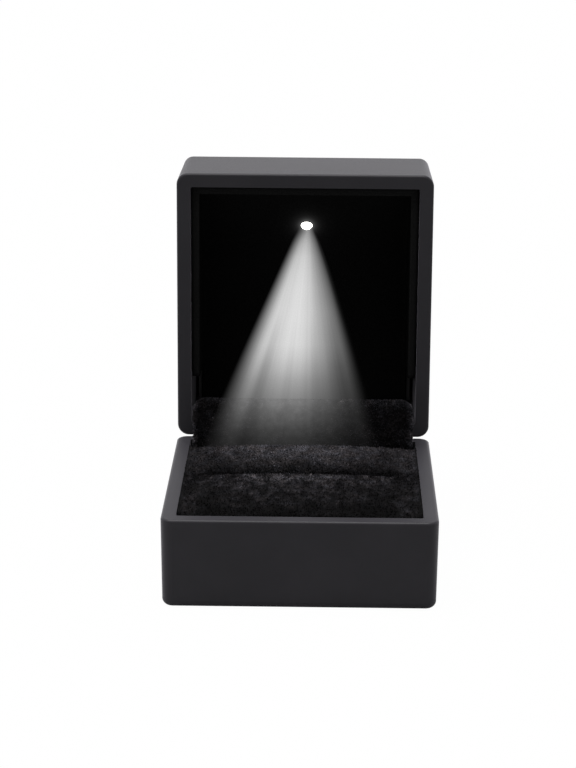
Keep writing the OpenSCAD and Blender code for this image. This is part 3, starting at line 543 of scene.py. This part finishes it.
def cushion_sheet(d, slot_depth, n):
    """Grid of the velvet at depth d. Across x the height is scaled by a crown 1 - 0.08 (x / half)^2
    and, within a corner radius of each side, by a quarter circle down to the foot. At depth 0 the
    corner is then drawn out to EDGE, wherever the section is near its full height."""
    edge, radius, height = HALF - d, 1.0 - d, TOP - FOOT
    half, crown = 26.75, 0.08
    turn = np.radians(np.linspace(0, 90, 12))
    side_x = edge - 0.05 - radius * (1 - np.cos(turn))
    side_k = (1 - radius / height * (1 - np.sin(turn))) * (1 - crown * (edge / half) ** 2)
    mid_x = np.linspace(-side_x[-1], side_x[-1], n)[1:-1]
    mid_k = 1 - crown * (mid_x / half) ** 2
    # the corner's crown eases into the crown of the middle
    blend = np.clip((np.abs(mid_x) - side_x[-1] + 3) / 3, 0, 1) ** 2
    mid_k = mid_k * (1 - blend) + side_k[-1] * blend
    x = np.concatenate([[-edge], -side_x, mid_x, side_x[::-1], [edge]])
    k = np.concatenate([[0], side_k, mid_k, side_k[::-1], [0]])
    # the slot closes over 2.6 mm at each end
    gape = np.clip((SLOT_HALF + 0.4 - np.abs(x)) / 2.6, 0, 1)
    gape = (gape * gape * (3 - 2 * gape))[:, None, None]
    section, shut = cushion_section(d, slot_depth)
    yz = finer(section[None] * gape + shut[None] * (1 - gape), SECTION_STEPS)
    z = FOOT + (yz[..., 1] - FOOT) * k[:, None]
    x = np.repeat(x[:, None], z.shape[1], 1)
    if d == 0:
        on_top = np.clip((yz[..., 1] - TOP + 3) / 2, 0, 1)
        for way, first in ((-1, 1), (1, len(x) - 1 - len(turn))):
            at = slice(first, first + len(turn))
            swell, lip = (a[:, None] for a in (EDGE if way < 0 else EDGE[::-1]).T)
            held = on_top[at] * np.minimum(1, (swell - EDGE[-1, 0]) / 1.2)
            x[at] += (way * swell - x[at]) * on_top[at]
            z[at] += (lip - z[at]) * held
    return np.stack([x, yz[..., 0], z], 2)


def shell_of(outer, inner):
    """Points and faces of the closed skin between two grids of the same size, which have a row for each x."""
    rows, cols, _ = outer.shape
    n, last = rows * cols, (rows - 1) * cols
    ring = np.concatenate([np.arange(cols), np.arange(1, rows) * cols + cols - 1,
                           last + np.arange(cols - 2, -1, -1), np.arange(rows - 2, -1, -1) * cols])
    faces = np.concatenate([quads(rows, cols), quads(rows, cols, n, True), strip(ring, ring + n, True)])
    # turned round, so that they look outwards
    return np.concatenate([outer.reshape(-1, 3), inner.reshape(-1, 3)]), faces[:, [0, 3, 2, 1]]


# the upstand's place and form, and the thickness of its velvet
UP_FACE, UP_THICK, UP_HALF, UP_TOP, UP_CORNER, UP_CLOTH = 24.0, 1.6, 25.8, 31.2, 3.0, 0.45


def slab_sheet(inset, side, columns, rows):
    """One side of the velvet sock at inset below its face. A row at height z reaches x = half width,
    less the corner's circle near the top. The sheet rolls over its edge: at distance e from the
    outline its half thickness is r sqrt(1 - (1 - min(e / r, 1))^2)."""
    half, top, corner = UP_HALF - inset, UP_TOP - inset, UP_CORNER - inset
    thick = UP_THICK / 2 - inset
    v = np.linspace(0, 1, rows)
    z = FOOT + (top - FOOT) * np.sin(v * np.pi / 2)
    over = np.clip(z - (top - corner), 0, corner)
    reach = half - corner + np.sqrt(np.maximum(corner ** 2 - over ** 2, 0))
    u = np.sin(np.linspace(-1, 1, columns) * np.pi / 2)
    x = reach[:, None] * u[None, :]
    z = np.broadcast_to(z[:, None], x.shape)
    # distance inside the rounded outline
    qx, qz = np.abs(x) - (half - corner), z - (top - corner)
    e = corner - np.hypot(np.maximum(qx, 0), np.maximum(qz, 0)) - np.minimum(np.maximum(qx, qz), 0)
    e = np.clip(e, 0, thick) / thick
    y = UP_FACE + UP_THICK / 2 + side * thick * np.sqrt(1 - (1 - e) ** 2)
    return np.stack([x, y, z], 2)


# where the lining's side walls end, in the shut lid's frame
SIDES_END = 17.5


def lining_grid():
    """Face of the lining in the shut lid's frame: x, y across and depth h in from the rim. Along y the
    floor's depth follows the front wall, the slope under the lamp and the panel. Along x a wall factor
    w goes from 0 on the border to 1 inside, so depth = border + (floor - border) w. Columns and rows
    bunch where the two corners are rounded."""
    border, panel = 1.5, 18.0
    side, front, outer_x, outer_y = 24.75, -26.5, 26.55, -28.3
    lamp_y, lamp_h, tilt = -16.75, 14.2, np.tan(np.radians(40))
    a = np.linspace(0, np.pi / 2, 5)
    # rounded lip 0.4 mm, wall with a little draft, hollow corner 0.8 mm
    lip = np.stack([0.4 - 0.4 * np.sin(a), 0.4 * (1 - np.cos(a))], 1)
    y_rows = [(outer_y, 0.0), (outer_y + 0.6, 0.0)]
    y_rows += [(front - s, h) for s, h in lip]
    start = lamp_h + (front + 0.3 - lamp_y) * tilt - border
    y_rows += [(front + 0.02 + 0.05 * k, 0.4 + (start - 0.9) * k / 4) for k in range(1, 4)]
    y_rows += [(front + 0.3, start - 0.35), (front + 0.6, start + 0.15)]
    end = lamp_y + (panel - lamp_h) / tilt
    ys = np.linspace(front + 1.0, end - 0.5, 22)
    y_rows += [(y, lamp_h + (y - lamp_y) * tilt - border) for y in ys]
    full = panel - border
    y_rows += [(end - 0.2, full - 0.26), (end + 0.2, full - 0.08), (end + 0.6, full)]
    ys = [*np.linspace(end + 1.4, SIDES_END, 34), *np.linspace(18.3, 26.4, 12), 27.0, 27.6]
    y_rows = np.array(y_rows + [(y, full) for y in ys])
    x_cols = [(outer_x, 0.0), (outer_x - 0.6, 0.0)]
    x_cols += [(side + s, h / full) for s, h in lip]
    x_cols += [(side - 0.02 * k, (0.4 + (full - 1.2) * k / 8) / full) for k in range(1, 9)]
    x_cols += [(side - 0.16 - 0.8 * (1 - np.cos(v)), (full - 0.8 + 0.8 * np.sin(v)) / full) for v in a[1:]]
    x_cols += [(x, 1.0) for x in np.linspace(side - 1.6, 1.9, 26)]
    x_cols = np.array(x_cols + [(0.0, 1.0)])
    x_cols = np.concatenate([x_cols * (-1, 1), x_cols[-2::-1]])
    x, w = x_cols[:, 0][None, :], x_cols[:, 1][None, :]
    y, h = y_rows[:, 0][:, None], y_rows[:, 1][:, None]
    depth = border + h * w
    return [np.broadcast_to(a, depth.shape) for a in (x, y, depth, w)]


def opened(x, y, depth):
    """Turns lid points from the shut frame, depth in from the rim, to the open rest pose: the lid turns
    back a right angle about the hinge, so y = hinge y + rim + depth - hinge z, z = hinge z + hinge y - y."""
    return np.stack([x, HINGE_Y + LID_RIM - HINGE_Z + depth, HINGE_Z + HINGE_Y - y], -1)


# ---- operators ----

def settings():
    """The scene's ring box settings."""
    return bpy.context.scene.ring_box


class RINGBOX_OT_shells(bpy.types.Operator):
    """Soft-touch plastic on the base and lid shells"""
    bl_idname = "ringbox.shells"
    bl_label = "Shells"

    def execute(self, context):
        paint(soft_touch_plastic(settings().shell), "base_shell", "lid_shell")
        return {"FINISHED"}


class RINGBOX_OT_cushion(bpy.types.Operator):
    """Velvet ring cushion, one skin drawn down into the slot, over its foam blocks and card"""
    bl_idname = "ringbox.cushion"
    bl_label = "Cushion"

    def execute(self, context):
        sizes = settings().cushion
        outer, inner = (cushion_sheet(d, sizes.slot_depth, sizes.stations) for d in (0.0, CLOTH))
        lift = np.clip((outer[..., 2] - FOOT) / 6, 0, 1)[..., None]
        pile = ruffle(outer.shape[:2], 11)[..., None] * sizes.tuft_height
        outer = outer + normals(outer) * np.clip(pile, -0.15, 0.15) * lift
        points, faces = shell_of(outer, inner)
        # painted light and shade: the tips are drawn darker towards the front edge and on the rear roll's
        # flank down into the slot, lighter on the rear roll's top, and across x lighter in the middle, a
        # painted pool of the lamp's light, and darker against the walls
        painted_light_along = [(-28, 0.08), (-22, 0.1), (-18, 0.22), (-10, 0.37), (-5, 0.58), (-2, 1.05), (0.6, 1.5),
               (1.3, 0.25), (6, 0.28), (9.5, 0.9), (14, 1.4), (19, 2.35), (24, 2.75)]
        across = [(-26.8, 0.1), (-26.1, 0.36), (-20, 0.42), (-14, 0.85), (-8, 1.0), (0, 1.0), (10, 0.85),
                  (15, 0.6), (19, 0.45), (25.9, 0.5), (26.6, 0.1)]
        contrast = [(-28, 1.6), (0, 1.5), (8, 0.65)]
        velvet = black_velvet(settings().velvet, "polyester_velvet", painted_light_along, 1, across, contrast,
                              (20.5, 23.0, [(-28, 0.3), (-18, 0.5), (0, 0.6), (10, 1.4), (24, 1.9)]))
        made = piece("velvet_cushion", points, faces, velvet, "base", "velvet", "cushion_velvet")

        def clear(p):
            """Above the card, and short of the walls, so that no tuft meets the lid."""
            x, y, z = p.T
            return (z > 14) & (np.abs(x) < 26.1) & (y > FRONT + 0.1) & (y < BACK - 0.2)

        tufts("velvet_cushion_pile", outer, 30000, settings().velvet, velvet, "base", 31, (0, 0.3, 0), clear)
        paint(moulding("polyurethane_foam", "#6d6d70", 0.9, 0.6, 0.3, 0.2), "foam_front", "foam_rear")
        paint(moulding("grey_board", "#8d8271", 0.85, 0.8, 0.03, 0.2), "cushion_board", "upstand_core")
        return {"FINISHED"}


class RINGBOX_OT_upstand(bpy.types.Operator):
    """Velvet sock over the card plate that hides the hinge"""
    bl_idname = "ringbox.upstand"
    bl_label = "Upstand"

    def execute(self, context):
        rows, cols = 90, 200
        sheets = [slab_sheet(i, s, cols, rows) for i in (0, UP_CLOTH) for s in (-1, 1)]
        for k, side in ((0, -1), (1, 1)):
            y = sheets[k][..., 1]
            away = np.clip(np.abs(y - UP_FACE - UP_THICK / 2) / (UP_THICK / 2), 0, 1)
            sheets[k][..., 1] = y + side * ruffle(y.shape, 21 + k) * 0.05 * away
        n = rows * cols
        faces = [quads(rows, cols, 0), quads(rows, cols, n, True), quads(rows, cols, 2 * n, True),
                 quads(rows, cols, 3 * n)]
        foot = np.arange(cols)
        faces += [strip(foot, foot + 2 * n, True), strip(foot + n, foot + 3 * n)]
        # apex and fade of the lamp's fan, painted on as emission where it falls on the upstand's own plane
        fan = ((1.03, 75.7), [(20.0, 0.026), (22.0, 0.037), (24.0, 0.058), (26.0, 0.091), (28.0, 0.127),
                              (30.0, 0.181), (32.0, 0.225)])
        # painted light: the tips are drawn lighter towards the top edge, and five times lighter at the side
        # edges where the light catches the fuzz
        painted_light_along = [(9, 0.5), (20, 0.5), (25, 0.6), (28.5, 0.5), (31.2, 0.9)]
        across = [(-25.7, 5), (-24.6, 1), (24.2, 1), (25.7, 5)]
        velvet = black_velvet(settings().velvet, "polyester_velvet_lit", painted_light_along, 2, across,
                              [(9, 1), (32, 1)], None, fan)
        points = np.concatenate([s.reshape(-1, 3) for s in sheets])
        made = piece("velvet_upstand", points, np.concatenate(faces), velvet, "base", "velvet",
                     "upstand_velvet")
        weld(made, 0.00001)

        def clear(p):
            """Above the cushion."""
            return p[:, 2] > 19.5

        tufts("velvet_upstand_pile", sheets[0][:, ::-1], 16000, settings().velvet, velvet, "base", 41,
              (0, 0, 0.4), clear)
        return {"FINISHED"}


class RINGBOX_OT_lining(bpy.types.Operator):
    """Flocked face of the lid's lining, with the lamp's fan of light painted on it as emission"""
    bl_idname = "ringbox.lining"
    bl_label = "Lining"

    def execute(self, context):
        x, y, depth, w = lining_grid()
        rows, cols = x.shape
        faces = quads(rows, cols)
        mid = [a.ravel()[faces].mean(1) for a in (x, y, w)]
        # behind the side walls' ends only the panel goes on, with its hollow corners
        keep = ~((mid[1] > SIDES_END) & (mid[2] < 0.95))
        # the lamp's fan and a halo round the lens, painted on the flock as emission
        fan = ((0.83, 70.5), [(22.0, 0.19), (26.0, 0.29), (29.0, 0.38), (32.0, 0.505), (35.0, 0.615),
                              (38.0, 0.70), (44.0, 0.725), (52.0, 0.705), (56.0, 0.67), (60.0, 0.61),
                              (63.0, 0.49), (66.0, 0.33), (67.5, 0.2), (70.0, 0.0)], True)
        made = piece("flock_lining", opened(x, y, depth), faces[keep][:, ::-1],
                     black_flock(settings().velvet, fan), "lid", "velvet", "lining_velvet")
        weld(made, 0.000001)
        thick = made.modifiers.new("thickness", "SOLIDIFY")
        thick.thickness, thick.offset = 0.4 * MM, -1
        paint(moulding("thermoformed_PVC", "#1c1c1d", 0.6, 0.5, 0.01), "lining_tray")
        return {"FINISHED"}


class RINGBOX_OT_lamp(bpy.types.Operator):
    """Lit lamp, its holder, board, resistor and supply behind the lining"""
    bl_idname = "ringbox.lamp"
    bl_label = "Lamp and supply"

    def execute(self, context):
        paint(lamp_resin(settings().fan), "lamp")
        paint(metal("tinned_copper", "#c9c8c4", 0.35, 0.3), "lamp_leads")
        paint(moulding("nylon_natural", "#d9d6c9", 0.45, 0.7), "lamp_holder", "switch_cam", "switch_plunger")
        paint(moulding("glass_epoxy_laminate", "#1f5a36", 0.4, 0.35), "circuit_board")
        paint(moulding("resistor_lacquer", "#c7ab76", 0.35, 0.6), "resistor")
        paint(moulding("ABS_black", "#1b1b1c", 0.5, 0.4), "battery_holder", "switch_body")
        paint(metal("nickel_plated_cell", "#c4c3c0", 0.3, 0.25), "cell_left", "cell_right")
        paint(moulding("PVC_insulation", "#151516", 0.45, 0.5), "wires")
        return {"FINISHED"}


class RINGBOX_OT_hinge(bpy.types.Operator):
    """Nickel-plated hinge leaves, pin, snap springs, cell contacts and screws"""
    bl_idname = "ringbox.hinge"
    bl_label = "Hinge"

    def execute(self, context):
        paint(metal("nickel_plated_steel", "#cbc8c0", 0.32, 0.2, (0.15, 1, 1)),
              "base_leaf", "lid_leaf", "cell_bridge", "cell_clips")
        paint(metal("spring_steel", "#8f9297", 0.35, 0.15, (1, 1, 0.2)), "snap_springs")
        paint(metal("turned_steel", "#b9babc", 0.28, 0.12),
              "hinge_pin", "base_leaf_screws", "lid_leaf_screws", "switch_screws")
        return {"FINISHED"}


class RINGBOX_OT_stage(bpy.types.Operator):
    """Pale floor, soft light from above and all round, and the camera of the photograph"""
    bl_idname = "ringbox.stage"
    bl_label = "Stage"

    def execute(self, context):
        scene, studio = context.scene, settings().studio
        size = 2.5
        mesh = bpy.data.meshes.new("floor")
        corners = [(x * size, y * size, 0) for x, y in ((-1, -1), (1, -1), (1, 1), (-1, 1))]
        mesh.from_pydata(corners, [], [(0, 1, 2, 3)])
        floor = bpy.data.objects.new("floor", mesh)
        scene.collection.objects.link(floor)
        made, tree, shader, place = new_material("paper_white")
        cloud = grain(tree, place, 300.0, 1.0)
        tone = graph(tree, cloud, [(0.3, linear("#adadad")), (0.7, linear("#b1b1b1"))])
        tree.links.new(tone, shader.inputs["Base Color"])
        shader.inputs["Roughness"].default_value = 0.9
        shader.inputs["Specular IOR Level"].default_value = 0.0
        # the camera sees it white, with a trace of the shadow, and the object gets its softer bounce
        white = add(tree, "ShaderNodeEmission", {"Color": (1, 1, 1, 1), "Strength": 1.0})
        seen = math(tree, "MULTIPLY", add(tree, "ShaderNodeLightPath").outputs["Is Camera Ray"], 0.985)
        mixed = add(tree, "ShaderNodeMixShader", {0: seen, 1: shader.outputs[0], 2: white.outputs[0]})
        tree.links.new(mixed.outputs[0], tree.nodes["Material Output"].inputs["Surface"])
        mesh.materials.append(made)

        world = bpy.data.worlds.new("studio")
        world.use_nodes = True
        scene.world = world
        tree = world.node_tree
        tree.nodes.clear()
        path = add(tree, "ShaderNodeLightPath")
        clear = math(tree, "ADD", path.outputs["Is Camera Ray"], path.outputs["Is Glossy Ray"])
        clear = math(tree, "ADD", clear, path.outputs["Is Transmission Ray"], True)
        strength = between(tree, clear, 0.0, 1.0, studio.sky, 1.0)
        back = add(tree, "ShaderNodeBackground", {"Color": (1, 1, 1, 1), "Strength": strength})
        add(tree, "ShaderNodeOutputWorld", {"Surface": back.outputs[0]})

        # a wide light almost overhead, a little to the left
        lamp = bpy.data.lights.new("soft_top", "SUN")
        lamp.energy, lamp.angle = studio.top, np.radians(50)
        top = bpy.data.objects.new("soft_top", lamp)
        top.rotation_euler = (np.radians(2), np.radians(-8), 0)
        scene.collection.objects.link(top)

        # the photograph's camera stands in front of the box, looks down on it and is a little off square
        aim, distance = np.array([-0.381, 0.0, 41.722]), 542.25
        pitch, yaw, roll = np.radians([15.464, -0.62, 0.459])
        # its focal length in pixels, and where its axis meets the picture
        focal, (axis_x, axis_y), (width, height) = 2417.8, (300.5, 384.5), (576, 768)
        ahead = np.array([np.sin(yaw) * np.cos(pitch), np.cos(yaw) * np.cos(pitch), -np.sin(pitch)])
        level = np.array([np.cos(yaw), -np.sin(yaw), 0.0])
        rise = np.cross(level, ahead)
        right = level * np.cos(roll) + rise * np.sin(roll)
        up = rise * np.cos(roll) - level * np.sin(roll)
        where = (aim - ahead * distance) * MM
        lens = bpy.data.cameras.new("camera")
        lens.sensor_fit, lens.sensor_width = "HORIZONTAL", 36
        lens.lens = focal * lens.sensor_width / width
        lens.shift_x, lens.shift_y = (width / 2 - axis_x) / width, (axis_y - height / 2) / width
        lens.clip_start, lens.clip_end = 0.05, 20
        camera = bpy.data.objects.new("camera", lens)
        axes = [(right[k], up[k], -ahead[k], where[k]) for k in range(3)]
        camera.matrix_world = Matrix([*axes, (0, 0, 0, 1)])
        scene.collection.objects.link(camera)
        scene.camera = camera
        scene.view_settings.view_transform = "Standard"
        return {"FINISHED"}


class RingBoxSettings(bpy.types.PropertyGroup):
    """All settings of the ring box."""
    shell: PointerProperty(type=ShellFinish, name="Shell", description="Finish of the shells")
    velvet: PointerProperty(type=VelvetFinish, name="Velvet", description="Finish of velvet and flock")
    cushion: PointerProperty(type=CushionSizes, name="Cushion", description="Form of the cushion")
    fan: PointerProperty(type=LightFan, name="Light", description="Lamp and its fan of light")
    studio: PointerProperty(type=Studio, name="Studio", description="Floor and light")


STEPS = (RINGBOX_OT_shells, RINGBOX_OT_cushion, RINGBOX_OT_upstand, RINGBOX_OT_lining, RINGBOX_OT_lamp,
         RINGBOX_OT_hinge, RINGBOX_OT_stage)


class RINGBOX_PT_panel(bpy.types.Panel):
    """Lists the steps that dress the ring box."""
    bl_idname = "RINGBOX_PT_panel"
    bl_label = "Ring box"
    bl_space_type = "VIEW_3D"
    bl_region_type = "UI"
    bl_category = "Ring box"

    def draw(self, context):
        for step in STEPS:
            self.layout.operator(step.bl_idname)


CLASSES = (ShellFinish, VelvetFinish, CushionSizes, LightFan, Studio, RingBoxSettings, *STEPS,
           RINGBOX_PT_panel)


def register():
    """Registers the settings, steps and panel."""
    for made in CLASSES:
        bpy.utils.register_class(made)
    bpy.types.Scene.ring_box = PointerProperty(type=RingBoxSettings)


def unregister():
    """Removes them again."""
    del bpy.types.Scene.ring_box
    for made in reversed(CLASSES):
        bpy.utils.unregister_class(made)


def main():
    """Registers the add-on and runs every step."""
    register()
    for step in STEPS:
        group, name = step.bl_idname.split(".")
        getattr(getattr(bpy.ops, group), name)()


if __name__ == "__main__":
    main()
